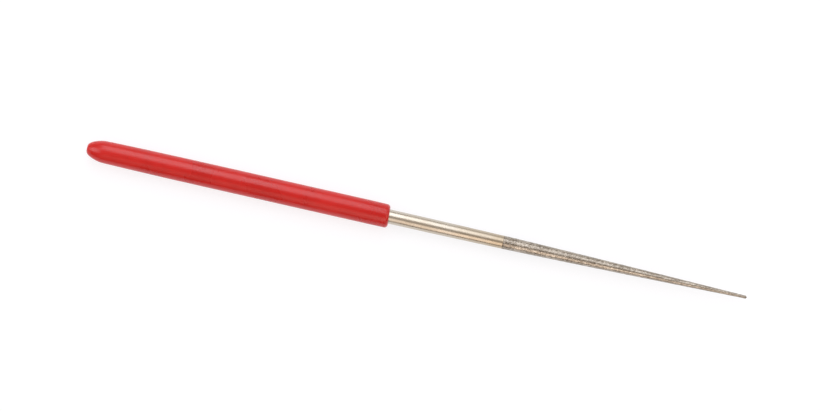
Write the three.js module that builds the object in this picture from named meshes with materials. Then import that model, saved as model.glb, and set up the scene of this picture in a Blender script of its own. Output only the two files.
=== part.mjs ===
// Round taper diamond needle file, 3 x 140 mm, with a dip-moulded PVC handle.
//
// Three pieces, as it comes apart on the bench:
//   steel_blank      one ground steel rod: tail, bare shank, tapered core and blunt tip
//   diamond_coating  nickel-bonded diamond grit, a thin thimble over the core
//   handle_sleeve    soft PVC, dipped on to the rod's tail, closed at the butt
//
// Every piece is turned about the file's own axis. Outlines are drawn as (radius, station),
// where a station is the distance from the butt in millimetres, and then revolved.
// The finished file lies on a bench along +X, tip at +X, resting on its handle.

import * as THREE from 'three';

// --- Driving dimensions, millimetres -----------------------------------------------------

const FILE_LENGTH = 140;            // butt to tip, a standard needle file length
const ROD_RADIUS = 1.5;             // 3 mm rod
const HANDLE_RADIUS = 2.5;          // 5 mm over the grip
const MOUTH_STATION = 64;           // where the sleeve ends and the bare shank begins
const GRIT_STATION = 88.4;          // where the bare shank ends and the grit begins

// Handle sleeve
const NOSE_LENGTH = 3.7;            // bullet nose, to the shoulder
const SHOULDER_RADIUS = 2.31;
const DRAFT_END = 24;               // the long draft reaches the full radius here
const MOUTH_DRAW = 4;               // the sleeve draws in slightly over this length at its mouth
const MOUTH_RADIUS = 2.475;
const LIP_RADIUS = 0.6;             // soft outer edge of the mouth
const BORE_CLEARANCE = 0.01;        // PVC shrunk on the rod: as close as two solids may sit
const TAIL_STATION = 2.6;           // the rod's tail ends this far from the butt
const TAIL_CHAMFER = 0.4;

// Shank
const DRAW_STATION = 72;            // the rod starts to draw down here
const SHANK_END_RADIUS = 1.355;

// Working part
const GRIT_START_RADIUS = 1.395;    // over the grit
const GRIT_TIP_RADIUS = 0.29;
const TAPER_POWER = 1.2;            // 1 is a straight cone; above 1 it swells like an ogive
const TAPER_STATIONS = 14;
const COATING_THICKNESS = 0.08;     // one layer of grit in its nickel bond
const COATING_SEAT = 0.01;          // between the bond and the core
const COATING_RAMP = 0.25;          // the plating builds up over this length at its start

const AROUND = 32;                  // facets round every piece
const ARC_STEPS = 6;                // straight pieces in each rounded corner
const CURVE_STEPS = 10;             // straight pieces in each long curve

// --- Materials ----------------------------------------------------------------------------

const redVinyl = new THREE.MeshStandardMaterial({ color: 0xca3830, roughness: 0.38, metalness: 0 });
const platedSteel = new THREE.MeshStandardMaterial({ color: 0xd8cec2, roughness: 0.22, metalness: 1 });
const diamondGrit = new THREE.MeshStandardMaterial({ color: 0x9c9084, roughness: 0.6, metalness: 0.8 });

// --- Outlines -----------------------------------------------------------------------------

/** Adds a curve's points to an outline, without repeating the point it starts on. */
function follow(outline, curve, steps) {
  outline.push(...curve.getPoints(steps).slice(outline.length > 0 ? 1 : 0));
}

/** A quarter or part of a circle in the outline, from one angle to another in degrees. */
function arc(radius, station, size, from, to) {
  const toRadians = THREE.MathUtils.degToRad;
  return new THREE.EllipseCurve(radius, station, size, size, toRadians(from), toRadians(to), from > to);
}

/** Dip-moulded sleeve: bullet nose, draft, grip, soft lip, flat mouth, then the blind bore. */
function sleeveOutline() {
  const outline = [];
  const shoulder = new THREE.Vector2(SHOULDER_RADIUS, NOSE_LENGTH);
  const nose = new THREE.CubicBezierCurve(
    new THREE.Vector2(0, 0),
    new THREE.Vector2(0.52 * SHOULDER_RADIUS, 0),
    new THREE.Vector2(0.91 * SHOULDER_RADIUS, 0.46 * NOSE_LENGTH),
    shoulder,
  );
  follow(outline, nose, CURVE_STEPS);

  const draft = new THREE.CubicBezierCurve(
    shoulder,
    new THREE.Vector2(SHOULDER_RADIUS + 0.05, NOSE_LENGTH + 1.3),
    new THREE.Vector2(HANDLE_RADIUS - 0.03, DRAFT_END - 10),
    new THREE.Vector2(HANDLE_RADIUS, DRAFT_END),
  );
  follow(outline, draft, CURVE_STEPS);

  outline.push(new THREE.Vector2(HANDLE_RADIUS, MOUTH_STATION - MOUTH_DRAW));
  const lip = arc(MOUTH_RADIUS - LIP_RADIUS, MOUTH_STATION - LIP_RADIUS, LIP_RADIUS, 0, 90);
  outline.push(...lip.getPoints(ARC_STEPS));

  const bore = ROD_RADIUS + BORE_CLEARANCE;
  const boreEnd = TAIL_STATION - BORE_CLEARANCE;
  outline.push(new THREE.Vector2(bore, MOUTH_STATION));
  outline.push(new THREE.Vector2(bore, boreEnd + TAIL_CHAMFER));
  outline.push(new THREE.Vector2(bore - TAIL_CHAMFER, boreEnd));
  outline.push(new THREE.Vector2(0, boreEnd));
  return outline;
}

/** Radius over the grit at a station: a cone that swells a little, like an ogive. */
function gritRadius(station) {
  const tipStart = FILE_LENGTH - GRIT_TIP_RADIUS;
  const along = Math.max(0, (station - GRIT_STATION) / (tipStart - GRIT_STATION));
  return GRIT_START_RADIUS - (GRIT_START_RADIUS - GRIT_TIP_RADIUS) * along ** TAPER_POWER;
}

/** The tapered working form and its blunt round tip, set in from the grit's face by depth. */
function taperOutline(depth, start = GRIT_STATION) {
  const outline = [];
  const tipStart = FILE_LENGTH - GRIT_TIP_RADIUS;
  for (let i = 0; i <= TAPER_STATIONS; i += 1) {
    const station = THREE.MathUtils.lerp(start, tipStart, i / TAPER_STATIONS);
    outline.push(new THREE.Vector2(gritRadius(station) - depth, station));
  }
  follow(outline, arc(0, tipStart, GRIT_TIP_RADIUS - depth, 0, 90), ARC_STEPS);
  outline.at(-1).x = 0;
  return outline;
}

/** Steel rod: chamfered tail, plain shank, draw, then the core that carries the grit. */
function blankOutline() {
  const outline = [
    new THREE.Vector2(0, TAIL_STATION),
    new THREE.Vector2(ROD_RADIUS - TAIL_CHAMFER, TAIL_STATION),
    new THREE.Vector2(ROD_RADIUS, TAIL_STATION + TAIL_CHAMFER),
    new THREE.Vector2(ROD_RADIUS, DRAW_STATION),
  ];
  const draw = new THREE.QuadraticBezierCurve(
    outline.at(-1),
    new THREE.Vector2(ROD_RADIUS - 0.025, DRAW_STATION + 6),
    new THREE.Vector2(SHANK_END_RADIUS, GRIT_STATION - COATING_SEAT),
  );
  follow(outline, draw, CURVE_STEPS);
  outline.push(...taperOutline(COATING_THICKNESS + COATING_SEAT, GRIT_STATION - COATING_SEAT));
  return outline;
}

/** Grit in its nickel bond: up the inside from the tip, round the ramped edge, down the outside. */
function coatingOutline() {
  const inside = taperOutline(COATING_THICKNESS).reverse();
  const outside = taperOutline(0, GRIT_STATION + COATING_RAMP);
  const edge = new THREE.Vector2(SHANK_END_RADIUS, GRIT_STATION);
  return [...inside, edge, ...outside];
}

// --- Assembly -----------------------------------------------------------------------------

/** Revolves an outline into a closed piece, with one facet square to each of the four sides. */
function turned(name, outline, material) {
  const geometry = new THREE.LatheGeometry(outline, AROUND, Math.PI / AROUND);
  const mesh = new THREE.Mesh(geometry, material);
  mesh.name = name;
  return mesh;
}

const file = new THREE.Group();
file.add(turned('steel_blank', blankOutline(), platedSteel));
file.add(turned('diamond_coating', coatingOutline(), diamondGrit));
file.add(turned('handle_sleeve', sleeveOutline(), redVinyl));

// Stations run along +Y as revolved: lay them along +X, with the middle of the length at X 0
// and the flat of the lowest facet on the bench at Z 0.
const facetRadius = HANDLE_RADIUS * Math.cos(Math.PI / AROUND);
file.rotation.z = -Math.PI / 2;
file.position.set(-FILE_LENGTH / 2, 0, facetRadius);

export default file;
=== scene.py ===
"""Looks of a round taper diamond needle file, 3 x 140 mm, with a dip-moulded handle.

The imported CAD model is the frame: it says where each piece begins and ends and how thick it is.
This script spins a smooth, detailed piece for each CAD node, grows the diamond grit on the
working part, gives each surface its finish, and sets up the table, the lights and the camera.

Lengths are metres. A station is the distance from the butt along the file, and the file lies
along +X with its tip at +X.
"""

import logging
import math
import random
from dataclasses import dataclass
from enum import Enum

import bmesh
import bpy
from mathutils import Euler, Matrix, Vector, noise
from mathutils.geometry import interpolate_bezier


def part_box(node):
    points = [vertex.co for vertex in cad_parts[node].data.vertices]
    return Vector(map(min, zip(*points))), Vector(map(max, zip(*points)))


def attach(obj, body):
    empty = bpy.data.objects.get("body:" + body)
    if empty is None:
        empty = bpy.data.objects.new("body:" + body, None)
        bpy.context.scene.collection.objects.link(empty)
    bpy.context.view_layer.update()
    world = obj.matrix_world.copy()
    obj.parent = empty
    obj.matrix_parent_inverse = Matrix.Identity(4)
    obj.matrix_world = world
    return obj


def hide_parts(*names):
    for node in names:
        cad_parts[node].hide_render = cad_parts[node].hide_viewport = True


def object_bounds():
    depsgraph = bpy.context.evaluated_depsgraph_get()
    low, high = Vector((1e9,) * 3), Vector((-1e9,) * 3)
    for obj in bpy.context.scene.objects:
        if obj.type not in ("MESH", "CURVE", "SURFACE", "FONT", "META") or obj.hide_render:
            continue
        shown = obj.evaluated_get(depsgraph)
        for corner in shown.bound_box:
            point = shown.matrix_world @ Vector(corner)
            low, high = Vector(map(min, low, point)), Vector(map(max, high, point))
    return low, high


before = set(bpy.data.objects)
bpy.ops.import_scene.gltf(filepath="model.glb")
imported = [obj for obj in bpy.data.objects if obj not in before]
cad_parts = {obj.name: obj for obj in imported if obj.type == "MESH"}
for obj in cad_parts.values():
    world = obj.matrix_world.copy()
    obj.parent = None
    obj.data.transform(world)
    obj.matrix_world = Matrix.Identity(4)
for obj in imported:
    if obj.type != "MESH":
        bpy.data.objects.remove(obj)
CAD_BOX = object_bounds()

MM = 0.001
MERGE_DISTANCE = 0.0002 * MM        # joins only the poles and the seam of a spun piece
BODY = "root"

log = logging.getLogger("needle_file")


# --- Small tools --------------------------------------------------------------------------


def linear(colour: str) -> tuple[float, float, float, float]:
    """Turns an sRGB hex colour, such as "#c8a090", into a linear one.

    Args:
        colour: the colour as "#rrggbb".

    Returns:
        Linear red, green and blue, and an alpha of 1.
    """
    channels = [int(colour[i:i + 2], 16) / 255 for i in (1, 3, 5)]
    return (*(c / 12.92 if c <= 0.04045 else ((c + 0.055) / 1.055) ** 2.4 for c in channels), 1.0)


def per_metre(size_mm: float) -> float:
    """Returns the texture scale that makes a pattern repeat about every size_mm."""
    return 1000.0 / size_mm


def add_node(
    tree: bpy.types.NodeTree,
    kind: str,
    inputs: dict[str | int, object] | None = None,
    **settings: object,
) -> bpy.types.Node:
    """Adds one node with its settings and links.

    Args:
        tree: the node tree that gets the node.
        kind: the node's type, such as "ShaderNodeTexNoise".
        inputs: for each input, by name or number, a value or the output that feeds it.
        **settings: the node's own properties, such as data_type.

    Returns:
        The new node.
    """
    node = tree.nodes.new(kind)
    for name, value in settings.items():
        setattr(node, name, value)
    for socket, value in (inputs or {}).items():
        if isinstance(value, bpy.types.NodeSocket):
            tree.links.new(value, node.inputs[socket])
        else:
            node.inputs[socket].default_value = value
    return node


def shown_as_piece(
    bm: bmesh.types.BMesh,
    name: str,
    finishes: list["Finish"],
    replaced: tuple[str, ...],
) -> bpy.types.Object:
    """Makes a finished bmesh one of the file's pieces.

    Args:
        bm: the geometry, in place in the frame. It is freed.
        name: the piece's name.
        finishes: one finish for each material number that the faces use.
        replaced: the CAD nodes that the piece stands for.

    Returns:
        The new object, riding on the file's one body.
    """
    mesh = bpy.data.meshes.new(name)
    bm.to_mesh(mesh)
    bm.free()
    for finish in finishes:
        mesh.materials.append(finish.material())
    piece = bpy.data.objects.new(name, mesh)
    bpy.context.scene.collection.objects.link(piece)
    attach(piece, BODY)
    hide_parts(*replaced)
    log.info("%s: %d faces", name, len(mesh.polygons))
    return piece


class Turning:
    """An outline drawn point by point from the butt's side, then spun about the file's axis."""

    def __init__(self, butt: float, axis_height: float, station: float, radius: float) -> None:
        """Starts the outline.

        Args:
            butt: the X of the file's butt, where stations begin.
            axis_height: the Z of the file's axis.
            station: the first point's station.
            radius: the first point's radius.
        """
        self.bm = bmesh.new()
        self.butt = butt
        self.axis_height = axis_height
        self.end = self.bm.verts.new(self.point(station, radius))

    def point(self, station: float, radius: float) -> Vector:
        """Returns the place in the frame of a station and a radius on the outline's side."""
        return Vector((self.butt + station, 0.0, self.axis_height + radius))

    def step_to(self, place: Vector) -> None:
        """Draws one edge on from the outline's end."""
        grown = bmesh.ops.extrude_vert_indiv(self.bm, verts=[self.end])
        self.end = grown["verts"][0]
        self.end.co = place

    def line_to(self, station: float, radius: float, steps: int = 1) -> None:
        """Draws a straight stretch.

        Args:
            station: where it ends.
            radius: the radius there.
            steps: how many edges it is made of.
        """
        start, finish = self.end.co.copy(), self.point(station, radius)
        for i in range(1, steps + 1):
            self.step_to(start.lerp(finish, i / steps))

    def curve_to(self, handles: list[tuple[float, float]], steps: int) -> None:
        """Draws a smooth curve.

        Args:
            handles: the curve's two handles and its end, each a station and a radius.
            steps: how many edges it is made of.
        """
        places = [self.end.co.copy(), *(self.point(*handle) for handle in handles)]
        for place in interpolate_bezier(*places, steps + 1)[1:]:
            self.step_to(place)

    def round_to(self, station: float, radius: float, turn: float, steps: int) -> None:
        """Draws an arc about a centre.

        Args:
            station: the centre's station.
            radius: the centre's radius.
            turn: the angle that the arc turns through, in radians; positive from the side to the tip.
            steps: how many edges it is made of.
        """
        centre = self.point(station, radius)
        spoke = self.end.co - centre
        for i in range(1, steps + 1):
            self.step_to(centre + Matrix.Rotation(turn * i / steps, 3, "Y") @ spoke)

    def spun(self, around: int) -> bmesh.types.BMesh:
        """Spins the outline into a closed solid.

        Args:
            around: how many faces go round it.

        Returns:
            The bmesh, its poles and seam closed and its faces pointing out.
        """
        bmesh.ops.spin(
            self.bm,
            geom=[*self.bm.verts, *self.bm.edges],
            cent=(self.butt, 0.0, self.axis_height),
            axis=(1.0, 0.0, 0.0),
            angle=math.tau,
            steps=around,
            use_merge=True,
        )
        bmesh.ops.remove_doubles(self.bm, verts=self.bm.verts, dist=MERGE_DISTANCE)
        bmesh.ops.recalc_face_normals(self.bm, faces=self.bm.faces)
        for face in self.bm.faces:
            face.smooth = True
        return self.bm


# --- Finishes -----------------------------------------------------------------------------


class Finish:
    """A finish: its name, and how its nodes are wired."""

    name: str

    def wire(self, tree: bpy.types.NodeTree, shader: bpy.types.Node, place: bpy.types.NodeSocket) -> None:
        """Wires the finish's patterns to its shader.

        Args:
            tree: the material's node tree.
            shader: its Principled BSDF.
            place: Object coordinates.
        """
        raise NotImplementedError

    def material(self) -> bpy.types.Material:
        """Returns the finish's material, made on its first use."""
        made = bpy.data.materials.get(self.name)
        if made:
            return made
        made = bpy.data.materials.new(self.name)
        made.use_nodes = True
        tree = made.node_tree
        tree.nodes.clear()
        shader = add_node(tree, "ShaderNodeBsdfPrincipled")
        add_node(tree, "ShaderNodeOutputMaterial", {"Surface": shader.outputs["BSDF"]})
        self.wire(tree, shader, add_node(tree, "ShaderNodeTexCoord").outputs["Object"])
        return made


@dataclass(frozen=True)
class DippedVinyl(Finish):
    """Plasticised PVC, dip-moulded: the dip leaves a soft gloss, faint runs and an orange peel."""

    name: str = "PVC plastisol, dip-moulded"
    thick: str = "#be0802"
    thin: str = "#ca0e06"
    speck: str = "#7d120c"
    run_mm: float = 7.0         # the wall's slow changes of thickness, seen as a change of depth
    peel_mm: float = 0.55       # one dimple of the orange peel
    speck_mm: float = 2.2       # spacing of stray pigment specks
    scuff_mm: float = 0.12      # width of a scuff
    scuff_length_mm: float = 5.0

    def wire(self, tree: bpy.types.NodeTree, shader: bpy.types.Node, place: bpy.types.NodeSocket) -> None:
        """Wires depth of colour, pigment specks, lengthwise scuffs and the orange peel."""
        runs = add_node(tree, "ShaderNodeTexNoise", {
            "Vector": place, "Scale": per_metre(self.run_mm), "Detail": 3.0, "Roughness": 0.55,
        })
        depth = add_node(tree, "ShaderNodeMapRange", {
            "Value": runs.outputs["Fac"], "From Min": 0.3, "From Max": 0.7,
        }, interpolation_type="SMOOTHSTEP")
        body = add_node(tree, "ShaderNodeMix", {
            "Factor": depth.outputs["Result"], "A": linear(self.thick), "B": linear(self.thin),
        }, data_type="RGBA")

        cells = add_node(tree, "ShaderNodeTexVoronoi", {
            "Vector": place, "Scale": per_metre(self.speck_mm),
        })
        specks = add_node(tree, "ShaderNodeMapRange", {
            "Value": cells.outputs["Distance"], "From Min": 0.05, "From Max": 0.09,
            "To Min": 0.2, "To Max": 0.0,
        })
        specked = add_node(tree, "ShaderNodeMix", {
            "Factor": specks.outputs["Result"], "A": body.outputs["Result"], "B": linear(self.speck),
        }, data_type="RGBA")
        tree.links.new(specked.outputs["Result"], shader.inputs["Base Color"])

        across = per_metre(self.scuff_mm)
        drawn = add_node(tree, "ShaderNodeMapping", {
            "Vector": place, "Scale": (per_metre(self.scuff_length_mm), across, across),
        })
        scratch = add_node(tree, "ShaderNodeTexNoise", {
            "Vector": drawn.outputs["Vector"], "Scale": 1.0, "Detail": 2.0, "Distortion": 0.6,
        })
        scuffs = add_node(tree, "ShaderNodeMapRange", {
            "Value": scratch.outputs["Fac"], "From Min": 0.62, "From Max": 0.74,
        })
        rough = add_node(tree, "ShaderNodeMapRange", {
            "Value": runs.outputs["Fac"], "From Min": 0.3, "From Max": 0.7, "To Min": 0.25, "To Max": 0.33,
        }, interpolation_type="SMOOTHSTEP")
        worn = add_node(tree, "ShaderNodeMath", {
            0: scuffs.outputs["Result"], 1: 0.12, 2: rough.outputs["Result"],
        }, operation="MULTIPLY_ADD")
        tree.links.new(worn.outputs["Value"], shader.inputs["Roughness"])

        peel = add_node(tree, "ShaderNodeTexNoise", {
            "Vector": place, "Scale": per_metre(self.peel_mm), "Detail": 2.0,
        })
        relief = add_node(tree, "ShaderNodeBump", {
            "Height": peel.outputs["Fac"], "Strength": 0.5, "Distance": 0.02 * MM,
        })
        scored = add_node(tree, "ShaderNodeBump", {
            "Height": scratch.outputs["Fac"], "Strength": 0.15, "Distance": 0.01 * MM,
            "Normal": relief.outputs["Normal"],
        })
        tree.links.new(scored.outputs["Normal"], shader.inputs["Normal"])

        shader.inputs["IOR"].default_value = 1.54
        shader.inputs["Subsurface Weight"].default_value = 0.4
        shader.inputs["Subsurface Radius"].default_value = (1.0, 0.2, 0.12)
        shader.inputs["Subsurface Scale"].default_value = 0.9 * MM


@dataclass(frozen=True)
class PlatedSteel(Finish):
    """Tool steel, centreless ground and bright nickel plated: warm, with marks round the shank."""

    name: str = "Bright nickel plate on ground steel"
    nickel: str = "#cbc3b6"
    tarnish: str = "#beb09b"
    mark_mm: float = 0.16       # real grinding marks are about 0.01 mm wide and would not show
    mark_length_mm: float = 3.0
    smudge_mm: float = 4.0
    tarnish_mm: float = 11.0

    def wire(self, tree: bpy.types.NodeTree, shader: bpy.types.Node, place: bpy.types.NodeSocket) -> None:
        """Wires the grinding marks, smudges from handling and a faint uneven tarnish."""
        clouds = add_node(tree, "ShaderNodeTexNoise", {
            "Vector": place, "Scale": per_metre(self.tarnish_mm), "Detail": 4.0,
        })
        dulled = add_node(tree, "ShaderNodeMapRange", {
            "Value": clouds.outputs["Fac"], "From Min": 0.4, "From Max": 0.7,
        })
        tone = add_node(tree, "ShaderNodeMix", {
            "Factor": dulled.outputs["Result"], "A": linear(self.nickel), "B": linear(self.tarnish),
        }, data_type="RGBA")
        tree.links.new(tone.outputs["Result"], shader.inputs["Base Color"])

        along = per_metre(self.mark_length_mm)
        ringed = add_node(tree, "ShaderNodeMapping", {
            "Vector": place, "Scale": (per_metre(self.mark_mm), along, along),
        })
        marks = add_node(tree, "ShaderNodeTexNoise", {
            "Vector": ringed.outputs["Vector"], "Scale": 1.0, "Detail": 3.0, "Roughness": 0.6,
        })
        smudges = add_node(tree, "ShaderNodeTexNoise", {
            "Vector": place, "Scale": per_metre(self.smudge_mm), "Detail": 3.0,
        })
        grease = add_node(tree, "ShaderNodeMapRange", {
            "Value": smudges.outputs["Fac"], "From Min": 0.4, "From Max": 0.7,
            "To Min": 0.22, "To Max": 0.30,
        })
        rough = add_node(tree, "ShaderNodeMath", {
            0: marks.outputs["Fac"], 1: 0.08, 2: grease.outputs["Result"],
        }, operation="MULTIPLY_ADD")
        tree.links.new(rough.outputs["Value"], shader.inputs["Roughness"])
        relief = add_node(tree, "ShaderNodeBump", {
            "Height": marks.outputs["Fac"], "Strength": 0.5, "Distance": 0.014 * MM,
        })
        tree.links.new(relief.outputs["Normal"], shader.inputs["Normal"])
        shader.inputs["Metallic"].default_value = 1.0


@dataclass(frozen=True)
class NickelBond(Finish):
    """Dull electroplated nickel that has grown up round the grit: grey-brown, matt, mottled."""

    name: str = "Electroplated nickel bond, matt"
    bright: str = "#d6cdc1"
    brown: str = "#9e9386"
    # painted shade: the dark colour laid into the grooves between grains, where the relief is lowest
    groove_shade: str = "#6e655b"
    mottle_mm: float = 0.42
    patch_mm: float = 3.5
    grain_mm: float = 0.16

    def wire(self, tree: bpy.types.NodeTree, shader: bpy.types.Node, place: bpy.types.NodeSocket) -> None:
        """Wires the mottling, wider patches, painted shade darkening the grooves between grains, and a
        grainy relief.
        """
        mottle = add_node(tree, "ShaderNodeTexNoise", {
            "Vector": place, "Scale": per_metre(self.mottle_mm), "Detail": 3.0, "Roughness": 0.7,
        })
        patches = add_node(tree, "ShaderNodeTexNoise", {
            "Vector": place, "Scale": per_metre(self.patch_mm), "Detail": 2.0,
        })
        mixed = add_node(tree, "ShaderNodeMath", {
            0: patches.outputs["Fac"], 1: 0.5, 2: mottle.outputs["Fac"],
        }, operation="MULTIPLY_ADD")
        share = add_node(tree, "ShaderNodeMapRange", {
            "Value": mixed.outputs["Value"], "From Min": 0.66, "From Max": 0.86,
        })
        tone = add_node(tree, "ShaderNodeMix", {
            "Factor": share.outputs["Result"], "A": linear(self.brown), "B": linear(self.bright),
        }, data_type="RGBA")
        cells = add_node(tree, "ShaderNodeTexVoronoi", {
            "Vector": place, "Scale": per_metre(self.grain_mm),
        })
        # painted shade: the bond darkens towards the edges of the Voronoi cells, the same grooves that the
        # bump below lowers
        groove_shade_mask = add_node(tree, "ShaderNodeMapRange", {
            "Value": cells.outputs["Distance"], "From Min": 0.45, "From Max": 0.75,
            "To Max": 0.6,
        })
        groove_shaded = add_node(tree, "ShaderNodeMix", {
            "Factor": groove_shade_mask.outputs["Result"], "A": tone.outputs["Result"], "B": linear(self.groove_shade),
        }, data_type="RGBA")
        tree.links.new(groove_shaded.outputs["Result"], shader.inputs["Base Color"])
        rough = add_node(tree, "ShaderNodeMapRange", {
            "Value": mottle.outputs["Fac"], "From Min": 0.3, "From Max": 0.7,
            "To Min": 0.28, "To Max": 0.16,
        })
        tree.links.new(rough.outputs["Result"], shader.inputs["Roughness"])
        relief = add_node(tree, "ShaderNodeBump", {
            "Height": cells.outputs["Distance"], "Strength": 0.4, "Distance": 0.02 * MM,
        }, invert=True)
        tree.links.new(relief.outputs["Normal"], shader.inputs["Normal"])
        shader.inputs["Metallic"].default_value = 1.0


class GrainTint(Enum):
    """The looks of the grains: a colour, the share of the grit that has it, and how metallic it is."""

    SMOKY = ("#7b7268", 0.17, 0.0)
    VEILED = ("#c0b9ae", 0.66, 1.0)     # still under a thin veil of nickel
    STRAW = ("#c4bcae", 0.17, 0.0)


@dataclass(frozen=True)
class DiamondGrain(Finish):
    """Synthetic diamond, crushed and graded: hard glossy facets, each grain its own depth of tint."""

    tint: GrainTint = GrainTint.STRAW
    deep: str = "#3a332b"
    tint_mm: float = 0.35
    diamond_ior: float = 2.42

    @property
    def name(self) -> str:
        """The material's name."""
        return f"Synthetic diamond grit, {self.tint.name.lower()}"

    def wire(self, tree: bpy.types.NodeTree, shader: bpy.types.Node, place: bpy.types.NodeSocket) -> None:
        """Wires each grain's own tint and the polish of its facets."""
        own = add_node(tree, "ShaderNodeTexNoise", {
            "Vector": place, "Scale": per_metre(self.tint_mm), "Detail": 1.0,
        })
        dark = add_node(tree, "ShaderNodeMapRange", {
            "Value": own.outputs["Fac"], "From Min": 0.35, "From Max": 0.65, "To Min": 0.25, "To Max": 0.0,
        })
        tone = add_node(tree, "ShaderNodeMix", {
            "Factor": dark.outputs["Result"], "A": linear(self.tint.value[0]), "B": linear(self.deep),
        }, data_type="RGBA")
        tree.links.new(tone.outputs["Result"], shader.inputs["Base Color"])
        rough = add_node(tree, "ShaderNodeMapRange", {
            "Value": own.outputs["Fac"], "From Min": 0.3, "From Max": 0.7, "To Min": 0.2, "To Max": 0.35,
        })
        tree.links.new(rough.outputs["Result"], shader.inputs["Roughness"])
        relief = add_node(tree, "ShaderNodeBump", {
            "Height": own.outputs["Fac"], "Strength": 0.2, "Distance": 0.01 * MM,
        })
        tree.links.new(relief.outputs["Normal"], shader.inputs["Normal"])
        shader.inputs["Metallic"].default_value = self.tint.value[2]
        if self.tint is not GrainTint.VEILED:
            shader.inputs["IOR"].default_value = self.diamond_ior


@dataclass(frozen=True)
class OpalTable(Finish):
    """Matt opal acrylic, lit from below as a copy stand's table is, so that shadows stay faint."""

    name: str = "Opal acrylic light table, matt"
    white: str = "#848587"
    shade: str = "#828385"
    glow: str = "#fdfdff"
    glow_strength: float = 0.80
    tooth_mm: float = 1.5

    def wire(self, tree: bpy.types.NodeTree, shader: bpy.types.Node, place: bpy.types.NodeSocket) -> None:
        """Wires the faint tooth of the matt sheet."""
        tooth = add_node(tree, "ShaderNodeTexNoise", {
            "Vector": place, "Scale": per_metre(self.tooth_mm), "Detail": 2.0,
        })
        tone = add_node(tree, "ShaderNodeMix", {
            "Factor": tooth.outputs["Fac"], "A": linear(self.white), "B": linear(self.shade),
        }, data_type="RGBA")
        tree.links.new(tone.outputs["Result"], shader.inputs["Base Color"])
        shader.inputs["Emission Color"].default_value = linear(self.glow)
        shader.inputs["Emission Strength"].default_value = self.glow_strength
        shader.inputs["Roughness"].default_value = 0.9
        shader.inputs["Specular IOR Level"].default_value = 0.1


# --- The file's pieces --------------------------------------------------------------------


@dataclass
class HandleSleeve:
    """The dip-moulded sleeve: bullet nose, long draft, plain grip, soft-lipped mouth, blind bore."""

    nose_length: float = 3.7 * MM
    nose_flat: float = 0.6 * MM         # radius of the flat at the very end
    nose_front_pull: float = 0.96 * MM  # how far the nose's curve first follows the flat outwards
    nose_side_pull: float = 1.17 * MM   # and how far it then follows the side up to the shoulder
    shoulder_drop: float = 0.17 * MM    # the shoulder's radius is this much less than the grip's
    draft_end: float = 24.0 * MM
    draft_start_pull: float = 1.8 * MM  # the draft's curve, as it leaves the shoulder
    draft_start_rise: float = 0.05 * MM
    draft_end_pull: float = 11.0 * MM   # and as it reaches the grip
    draft_end_rise: float = 0.02 * MM
    mouth_draw: float = 4.0 * MM
    mouth_drop: float = 0.025 * MM
    lip: float = 0.7 * MM
    inner_lip: float = 0.12 * MM
    mouth_past: float = 0.2 * MM        # the skin was cut a little long, and a little off square
    mouth_slant: float = 0.15 * MM
    ripple: float = 0.012 * MM          # the dip's unevenness
    ripple_sink: float = 0.6            # how far, in ripples, the whole skin lies inside the grip's radius
    ripple_length: float = 6.0 * MM
    bore_margin: float = 0.4 * MM       # nearer to the rod than this is bore, which stays even
    mouth_margin: float = 0.1 * MM      # and so does the mouth's own face
    around: int = 112

    def build(self, rod_radius: float, tail: float) -> bpy.types.Object:
        """Spins the sleeve over the rod.

        Args:
            rod_radius: the radius of the rod that it was dipped on to.
            tail: the station of the rod's tail.

        Returns:
            The finished piece.
        """
        low, high = (Vector(corner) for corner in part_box("handle_sleeve"))
        radius, mouth = (high.z - low.z) / 2, high.x - low.x
        shoulder = radius - self.shoulder_drop
        turning = Turning(low.x, low.z + radius, 0.0, 0.0)
        turning.line_to(0.0, self.nose_flat, steps=3)
        turning.curve_to([
            (0.0, self.nose_flat + self.nose_front_pull),
            (self.nose_length - self.nose_side_pull, shoulder),
            (self.nose_length, shoulder),
        ], steps=24)
        turning.curve_to([
            (self.nose_length + self.draft_start_pull, shoulder + self.draft_start_rise),
            (self.draft_end - self.draft_end_pull, radius - self.draft_end_rise),
            (self.draft_end, radius),
        ], steps=40)
        turning.line_to(mouth - self.mouth_draw, radius, steps=70)
        turning.line_to(mouth - self.lip, radius - self.mouth_drop, steps=8)
        turning.round_to(mouth - self.lip, radius - self.mouth_drop - self.lip, math.pi / 2, steps=12)
        turning.line_to(mouth, rod_radius + self.inner_lip, steps=2)
        turning.round_to(mouth - self.inner_lip, rod_radius + self.inner_lip, math.pi / 2, steps=4)
        turning.line_to(tail, rod_radius, steps=2)
        turning.line_to(tail, 0.0)
        bm = turning.spun(self.around)
        self.unevenness(bm, mouth, low.x, rod_radius + self.bore_margin, turning.axis_height)
        self.slant_mouth(bm, mouth, low.x, radius)
        return shown_as_piece(bm, "handle_sleeve_dipped", [DippedVinyl()], ("handle_sleeve",))

    def unevenness(
        self, bm: bmesh.types.BMesh, mouth: float, butt: float, inside: float, axis_height: float,
    ) -> None:
        """Gives the sleeve's outside the slow unevenness of a dipped skin.

        Args:
            bm: the spun sleeve.
            mouth: the mouth's station.
            butt: the X of the butt.
            inside: points nearer to the axis than this belong to the bore and stay.
            axis_height: the Z of the file's axis.
        """
        for vert in bm.verts:
            away = Vector((0.0, vert.co.y, vert.co.z - axis_height))
            if away.length < inside or vert.co.x - butt > mouth - self.mouth_margin:
                continue
            wave = noise.noise(vert.co / self.ripple_length)
            vert.co += away.normalized() * (self.ripple * (wave - self.ripple_sink))

    def slant_mouth(self, bm: bmesh.types.BMesh, mouth: float, butt: float, radius: float) -> None:
        """Draws the mouth out, further on the near side, fading to nothing where the draw begins.

        Args:
            bm: the spun sleeve.
            mouth: the mouth's station.
            butt: the X of the butt.
            radius: the grip's radius.
        """
        for vert in bm.verts:
            share = (vert.co.x - butt - mouth + self.mouth_draw) / self.mouth_draw
            if share > 0.0:
                vert.co.x += share * (self.mouth_past - self.mouth_slant * vert.co.y / radius)


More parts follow.
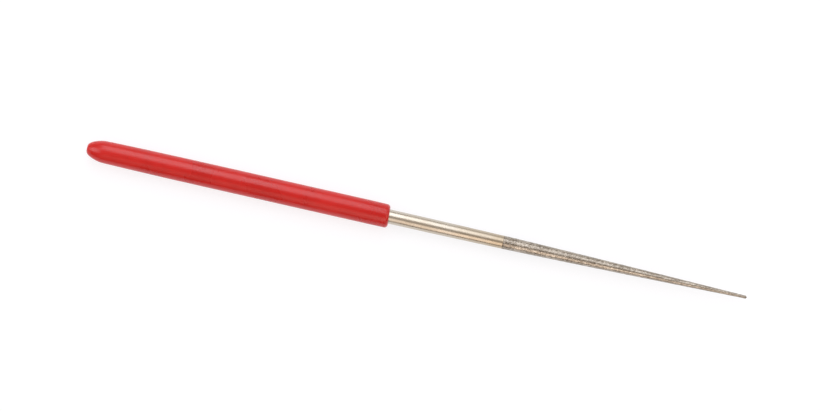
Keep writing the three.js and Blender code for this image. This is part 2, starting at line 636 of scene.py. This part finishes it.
@dataclass
class WorkingForm:
    """The taper that the grit follows: a cone that swells a little like an ogive, with a blunt tip."""

    start: float
    length: float
    start_radius: float
    tip_radius: float = 0.34 * MM
    power: float = 1.2

    @property
    def tip_start(self) -> float:
        """The station where the taper ends and the round tip begins."""
        return self.length - self.tip_radius

    def radius(self, station: float) -> float:
        """Returns the radius over the grit at a station."""
        along = max(0.0, (station - self.start) / (self.tip_start - self.start))
        return self.start_radius - (self.start_radius - self.tip_radius) * along ** self.power

    def depth(self, station: float, radius: float) -> float:
        """Returns how deep below the grit's face a point is."""
        if station < self.tip_start:
            return self.radius(station) - radius
        return self.tip_radius - math.hypot(station - self.tip_start, radius)

    def draw(self, turning: Turning, depth: float, first: float, steps: int) -> None:
        """Draws the taper and its tip on an outline, out to the axis.

        Args:
            turning: the outline, which already stands at the first station.
            depth: how far below the grit's face the outline runs.
            first: the station that it starts from.
            steps: how many edges the taper is made of.
        """
        for i in range(1, steps + 1):
            station = first + (self.tip_start - first) * i / steps
            turning.line_to(station, self.radius(station) - depth)
        turning.round_to(self.tip_start, 0.0, math.pi / 2, steps=8)


@dataclass
class SteelBlank:
    """The rod: buried tail, bright bare shank that draws down, and the core under the grit."""

    tail_chamfer: float = 0.4 * MM
    draw_start: float = 72.0 * MM
    draw_pull: float = 4.0 * MM         # the draw's curve, as it leaves the plain rod
    draw_pull_drop: float = 0.015 * MM
    draw_end_pull: float = 6.0 * MM     # and as it reaches the grit
    draw_end_rise: float = 0.05 * MM
    shank_end_radius: float = 1.375 * MM
    end_edge: float = 0.03 * MM         # the shank's last edge is only just broken
    around: int = 96

    def build(
        self, form: WorkingForm, core_depth: float, rod_radius: float, tail: float,
    ) -> bpy.types.Object:
        """Spins the rod.

        Args:
            form: the working part's taper.
            core_depth: how far the core lies below the grit's face.
            rod_radius: the rod's radius.
            tail: the station of the tail's end.

        Returns:
            The finished piece.
        """
        low, high = (Vector(corner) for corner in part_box("steel_blank"))
        turning = Turning(low.x - tail, (low.z + high.z) / 2, tail, 0.0)
        turning.line_to(tail, rod_radius - self.tail_chamfer)
        turning.line_to(tail + self.tail_chamfer, rod_radius)
        turning.line_to(self.draw_start, rod_radius, steps=40)
        turning.curve_to([
            (self.draw_start + self.draw_pull, rod_radius - self.draw_pull_drop),
            (form.start - self.draw_end_pull, self.shank_end_radius + self.draw_end_rise),
            (form.start - 2 * self.end_edge, self.shank_end_radius),
        ], steps=24)
        turning.line_to(form.start - self.end_edge, self.shank_end_radius)
        turning.line_to(form.start, self.shank_end_radius - self.end_edge)
        turning.line_to(form.start, form.radius(form.start) - core_depth)
        form.draw(turning, core_depth, form.start, steps=40)
        bm = turning.spun(self.around)
        return shown_as_piece(bm, "steel_blank_ground", [PlatedSteel()], ("steel_blank",))


@dataclass
class DiamondCoating:
    """The grit in its bond: a lumpy nickel skin over the core, and the grains that stand out of it."""

    thickness: float = 0.08 * MM
    seat: float = 0.01 * MM             # between the coating and the core
    bond_depth: float = 0.045 * MM      # the nickel lies this far below the grains' mean tops
    ramp: float = 0.2 * MM
    lump: float = 0.012 * MM
    lump_length: float = 0.2 * MM
    swell_length: float = 0.6 * MM
    grain: float = 0.17 * MM            # coarser than the real 0.09 mm, so that single grains show
    tip_grain: float = 0.55             # a grain at a point tip would have this share of that size
    first_ring: float = 0.1 * MM        # the first ring of grains sits this far past the grit's start
    spacing: float = 1.05               # between grains in a ring, in grains
    stray_round: float = 0.3            # how far a grain strays round its ring, in spacings
    stray_along: float = 0.35           # and along the file, in grains
    missing: float = 0.1                # share of the places in a ring that have lost their grain
    sizes: tuple[float, float] = (0.7, 1.15)
    heights: tuple[float, float] = (-0.28, -0.08)   # a grain's middle over the bond, in its own size
    stretches: tuple[float, float] = (0.8, 1.15)
    blocky: float = 0.5                 # share of grains that are blocks; the others are splinters
    block_edge: float = 0.72            # these last are in the grain's own size
    splinter_root: float = 0.6
    splinter_top: float = 0.34
    lean: float = 0.15                  # how far, in radians, a grain leans out of its seat
    clump_mm: float = 0.6               # grains of one tint gather over about this length
    gather: float = 0.75                # how much a grain's tint follows its place
    luck: float = 0.25                  # and how much it is left to luck
    around: int = 80
    seed: int = 11

    def build_bond(self, form: WorkingForm, butt: float, axis_height: float) -> bpy.types.Object:
        """Spins the nickel skin and roughens it.

        Args:
            form: the working part's taper.
            butt: the X of the butt.
            axis_height: the Z of the axis.

        Returns:
            The finished piece.
        """
        turning = Turning(butt, axis_height, form.start, form.radius(form.start) - self.thickness)
        edge = turning.end
        form.draw(turning, self.thickness, form.start, steps=60)
        turning.end = edge
        ramp_end = form.start + self.ramp
        turning.line_to(ramp_end, form.radius(ramp_end) - self.bond_depth, steps=3)
        form.draw(turning, self.bond_depth, ramp_end, steps=420)
        bm = turning.spun(self.around)
        skin = (self.thickness + self.bond_depth) / 2
        for vert in bm.verts:
            away = Vector((0.0, vert.co.y, vert.co.z - axis_height))
            if form.depth(vert.co.x - butt, away.length) > skin:
                continue
            swell = noise.noise(vert.co / self.lump_length) + noise.noise(vert.co / self.swell_length) / 2
            vert.co += away.normalized() * (self.lump * swell)
        return shown_as_piece(bm, "nickel_bond", [NickelBond()], ("diamond_coating",))

    def tint_at(self, place: Vector, chance: random.Random) -> int:
        """Picks a grain's tint: mostly by where it is, so that tints gather, and partly by luck.

        Args:
            place: where the grain sits.
            chance: the coating's own random numbers.

        Returns:
            The tint's number in GrainTint.
        """
        gathered = 0.5 + self.gather * noise.noise(place / (self.clump_mm * MM))
        draw = gathered + chance.uniform(-self.luck, self.luck)
        reached = 0.0
        for number, tint in enumerate(GrainTint):
            reached += tint.value[1]
            if draw < reached:
                return number
        return len(GrainTint) - 1

    def build_grains(self, form: WorkingForm, butt: float, axis_height: float) -> bpy.types.Object:
        """Sets the grains in the bond, ring by ring from the start of the grit to the tip.

        Args:
            form: the working part's taper.
            butt: the X of the butt.
            axis_height: the Z of the axis.

        Returns:
            The finished piece.
        """
        chance = random.Random(self.seed)
        coat = bmesh.new()
        station = form.start + self.first_ring
        while station < form.length:
            share = self.tip_grain + (1.0 - self.tip_grain) * form.radius(station) / form.start_radius
            size = self.grain * share
            if station < form.tip_start:
                face = form.radius(station) - self.bond_depth
            else:
                face = math.sqrt(max(0.0, form.tip_radius ** 2 - (station - form.tip_start) ** 2))
            ring = self.ring_of_grains(butt + station, face, size, axis_height, chance)
            coat.from_mesh(ring)
            bpy.data.meshes.remove(ring)
            station += size
        return shown_as_piece(
            coat, "diamond_grains", [DiamondGrain(tint=tint) for tint in GrainTint],
            ("diamond_coating",),
        )

    def ring_of_grains(
        self, x: float, radius: float, size: float, axis_height: float, chance: random.Random,
    ) -> bpy.types.Mesh:
        """Makes one ring of grains.

        Args:
            x: where along the file the ring is.
            radius: the bond's radius there.
            size: the grains' size there.
            axis_height: the Z of the axis.
            chance: the coating's own random numbers.

        Returns:
            The ring as a mesh.
        """
        bm = bmesh.new()
        count = max(3, int(math.tau * radius / (size * self.spacing)))
        phase = chance.uniform(0.0, math.tau)
        for i in range(count):
            stray = chance.uniform(-self.stray_round, self.stray_round)
            angle = phase + (i + stray) * math.tau / count
            if chance.random() < self.missing:
                continue
            own = size * chance.uniform(*self.sizes)
            sunk = radius + own * chance.uniform(*self.heights)
            place = Vector((
                x + size * chance.uniform(-self.stray_along, self.stray_along),
                sunk * math.sin(angle),
                axis_height + sunk * math.cos(angle),
            ))
            lean = Euler([chance.gauss(0.0, self.lean) for _ in range(2)] + [chance.uniform(0.0, math.tau)])
            stretch = Matrix.Diagonal([chance.uniform(*self.stretches) for _ in range(3)]).to_4x4()
            facing = Matrix.Rotation(-angle, 4, "X")
            seat = Matrix.Translation(place) @ facing @ lean.to_matrix().to_4x4() @ stretch
            if chance.random() < self.blocky:
                made = bmesh.ops.create_cube(bm, size=own * self.block_edge, matrix=seat)
            else:
                made = bmesh.ops.create_cone(
                    bm, cap_ends=True, segments=5, radius1=own * self.splinter_root,
                    radius2=own * self.splinter_top, depth=own * self.block_edge, matrix=seat,
                )
            tint = self.tint_at(place, chance)
            for face in {face for vert in made["verts"] for face in vert.link_faces}:
                face.material_index = tint
        mesh = bpy.data.meshes.new("ring")
        bm.to_mesh(mesh)
        bm.free()
        return mesh


# --- The studio ---------------------------------------------------------------------------


class Side(Enum):
    """The sides of the file that a light can lean from, each as a direction in X and Y."""

    FAR = (0.0, 1.0)
    NEAR = (0.0, -1.0)
    BUTT_END = (-1.0, 0.0)
    TIP_END = (1.0, 0.0)


@dataclass
class Softbox:
    """A softbox that leans over the file from one side."""

    name: str
    side: Side
    lean: float             # degrees from straight overhead
    over: float             # the X that it is aimed at
    length: float           # its level edge
    width: float            # its sloping edge
    glow: float             # brightness of its face, where 1 is white in the picture
    colour: str
    distance: float = 0.45

    def build(self) -> None:
        """Hangs the light and aims it at the file."""
        data = bpy.data.lights.new(self.name, "AREA")
        data.shape = "RECTANGLE"
        data.size, data.size_y = self.length, self.width
        data.energy = self.glow * math.pi * self.length * self.width
        data.color = linear(self.colour)[:3]
        light = bpy.data.objects.new(self.name, data)
        lean = math.radians(self.lean)
        away = Vector((*(math.sin(lean) * part for part in self.side.value), math.cos(lean)))
        light.location = Vector((self.over, 0.0, 0.0)) + self.distance * away
        light.rotation_euler = away.to_track_quat("Z", "Y").to_euler()
        light.visible_camera = False
        bpy.context.scene.collection.objects.link(light)


@dataclass
class Studio:
    """A white table under a dim ceiling, softboxes on all four sides, and the camera almost overhead."""

    floor_radius: float = 6.0
    ceiling: str = "#b4a99f"
    far_wall: str = "#c2bcb5"
    near_wall: str = "#8d7b6d"
    fall: float = 12.745            # degrees that the file falls to the right in the picture
    elevation: float = 86.0
    lens: float = 135.0
    view_width: float = 170.03 * MM
    aside: float = 1.21 * MM        # the file's middle sits this far right of the picture's middle
    below: float = 3.55 * MM        # and this far below it

    def build(self) -> None:
        """Builds the table, the room, the lights and the camera."""
        self.lay_table()
        self.light_room()
        self.hang_lights()
        self.set_camera()
        bpy.context.scene.view_settings.view_transform = "Standard"

    def lay_table(self) -> None:
        """Lays the pale table under the file."""
        bm = bmesh.new()
        bmesh.ops.create_circle(bm, cap_ends=True, radius=self.floor_radius, segments=96)
        mesh = bpy.data.meshes.new("table")
        bm.to_mesh(mesh)
        bm.free()
        mesh.materials.append(OpalTable().material())
        table = bpy.data.objects.new("table", mesh)
        bpy.context.scene.collection.objects.link(table)

    def hang_lights(self) -> None:
        """Hangs a cool key and a warm fill over the handle and over the blade, and one past each end."""
        cool, warm = "#f4f8ff", "#fff0e4"
        over_handle, over_blade, over_shank = -0.12, 0.19, 0.07
        softboxes = [
            Softbox(
                "key_over_handle", Side.FAR, 41.0, over_handle,
                length=0.22, width=0.40, glow=2.5, colour=cool,
            ),
            Softbox(
                "key_over_blade", Side.FAR, 38.0, over_blade,
                length=0.40, width=0.46, glow=0.98, colour=cool,
            ),
            Softbox(
                "fill_over_handle", Side.NEAR, 46.0, over_handle,
                length=0.22, width=0.30, glow=0.42, colour=warm,
            ),
            Softbox(
                "fill_over_shank", Side.NEAR, 49.0, over_shank,
                length=0.16, width=0.36, glow=1.60, colour=warm,
            ),
            Softbox(
                "butt_end", Side.BUTT_END, 50.0, -0.04,
                length=0.30, width=0.30, glow=2.5, colour=cool,
            ),
            Softbox(
                "tip_end", Side.TIP_END, 50.0, 0.0,
                length=0.30, width=0.30, glow=1.2, colour=warm,
            ),
        ]
        for softbox in softboxes:
            softbox.build()

    def light_room(self) -> None:
        """Makes the room's own light: pale walls, and a dimmer ceiling for the metal to mirror."""
        world = bpy.data.worlds.new("studio_room")
        world.use_nodes = True
        tree = world.node_tree
        tree.nodes.clear()
        way = add_node(tree, "ShaderNodeTexCoord").outputs["Generated"]
        split = add_node(tree, "ShaderNodeSeparateXYZ", {"Vector": way})
        across = add_node(tree, "ShaderNodeMapRange", {
            "Value": split.outputs["Y"], "From Min": -0.5, "From Max": 0.5,
        }, interpolation_type="SMOOTHSTEP")
        walls = add_node(tree, "ShaderNodeMix", {
            "Factor": across.outputs["Result"], "A": linear(self.near_wall), "B": linear(self.far_wall),
        }, data_type="RGBA")
        climb = add_node(tree, "ShaderNodeMapRange", {
            "Value": split.outputs["Z"], "From Min": 0.05, "From Max": 0.8,
        }, interpolation_type="SMOOTHSTEP")
        tone = add_node(tree, "ShaderNodeMix", {
            "Factor": climb.outputs["Result"], "A": walls.outputs["Result"], "B": linear(self.ceiling),
        }, data_type="RGBA")
        glow = add_node(tree, "ShaderNodeBackground", {"Color": tone.outputs["Result"]})
        add_node(tree, "ShaderNodeOutputWorld", {"Surface": glow.outputs["Background"]})
        bpy.context.scene.world = world

    def set_camera(self) -> None:
        """Sets the camera at the picture's angle, aimed so that the file sits where it should."""
        rise = math.radians(self.elevation)
        turn = math.atan(math.tan(math.radians(self.fall)) / math.sin(rise))
        right = Vector((math.cos(turn), math.sin(turn), 0.0))
        back = Vector((math.sin(turn) * math.cos(rise), -math.cos(turn) * math.cos(rise), math.sin(rise)))
        up = back.cross(right)
        low, high = (Vector(corner) for corner in CAD_BOX)
        aim = (low + high) / 2 - self.aside * right + self.below * up
        data = bpy.data.cameras.new("camera")
        data.lens = self.lens
        data.clip_start = 0.01
        camera = bpy.data.objects.new("camera", data)
        distance = self.view_width * self.lens / data.sensor_width
        axes = Matrix((right, up, back)).transposed().to_4x4()
        camera.matrix_world = Matrix.Translation(aim + back * distance) @ axes
        bpy.context.scene.collection.objects.link(camera)
        bpy.context.scene.camera = camera


def main() -> None:
    """Builds the studio and the file's pieces, and logs each piece's face count."""
    logging.basicConfig(level=logging.INFO, format="%(name)s: %(message)s")
    Studio().build()

    low, high = (Vector(corner) for corner in CAD_BOX)
    grit_low, grit_high = (Vector(corner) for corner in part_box("diamond_coating"))
    rod_low, rod_high = (Vector(corner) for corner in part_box("steel_blank"))
    axis_height = (rod_low.z + rod_high.z) / 2
    rod_radius, tail = (rod_high.z - rod_low.z) / 2, rod_low.x - low.x
    form = WorkingForm(
        start=grit_low.x - low.x, length=high.x - low.x, start_radius=(grit_high.z - grit_low.z) / 2,
    )
    coating = DiamondCoating()
    HandleSleeve().build(rod_radius, tail)
    SteelBlank().build(form, coating.thickness + coating.seat, rod_radius, tail)
    coating.build_bond(form, low.x, axis_height)
    coating.build_grains(form, low.x, axis_height)


if __name__ == "__main__":
    main()
